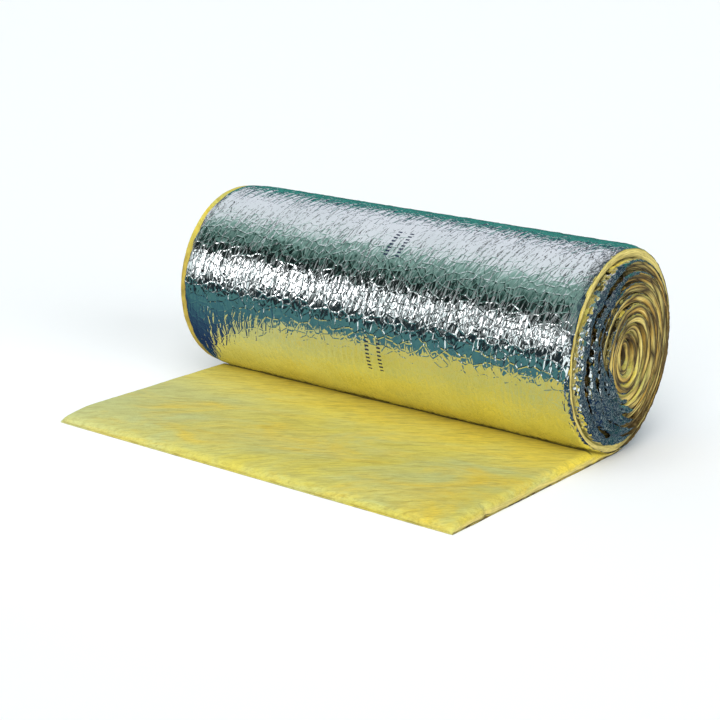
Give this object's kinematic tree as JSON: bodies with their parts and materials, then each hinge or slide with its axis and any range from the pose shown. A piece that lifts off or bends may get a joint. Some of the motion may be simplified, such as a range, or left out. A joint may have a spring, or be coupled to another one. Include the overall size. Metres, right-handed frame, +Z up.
{
  "type": "insulation roll",
  "caption": "Foil-faced glass wool blanket wound into a roll with the foil outside, its last stretch unrolled flat on the floor in front of it.",
  "frame": {"origin": "on the floor, under the middle of the whole object's box", "axes": "+X along the roll's axis, towards the end where the inner turns have slid out; -Y towards the unrolled flap; +Z up"},
  "size_m": [1.244, 0.9598, 0.52],
  "materials": {
    "glass_wool": "matt yellow glass wool, soft and fibrous, mottled from cream to ochre",
    "foil": "bright aluminium foil facing, crinkled along the turns"
  },
  "bodies": {
    "root": {"wool_blanket": "glass_wool", "foil_facing": "foil"}
  },
  "joints": []
}
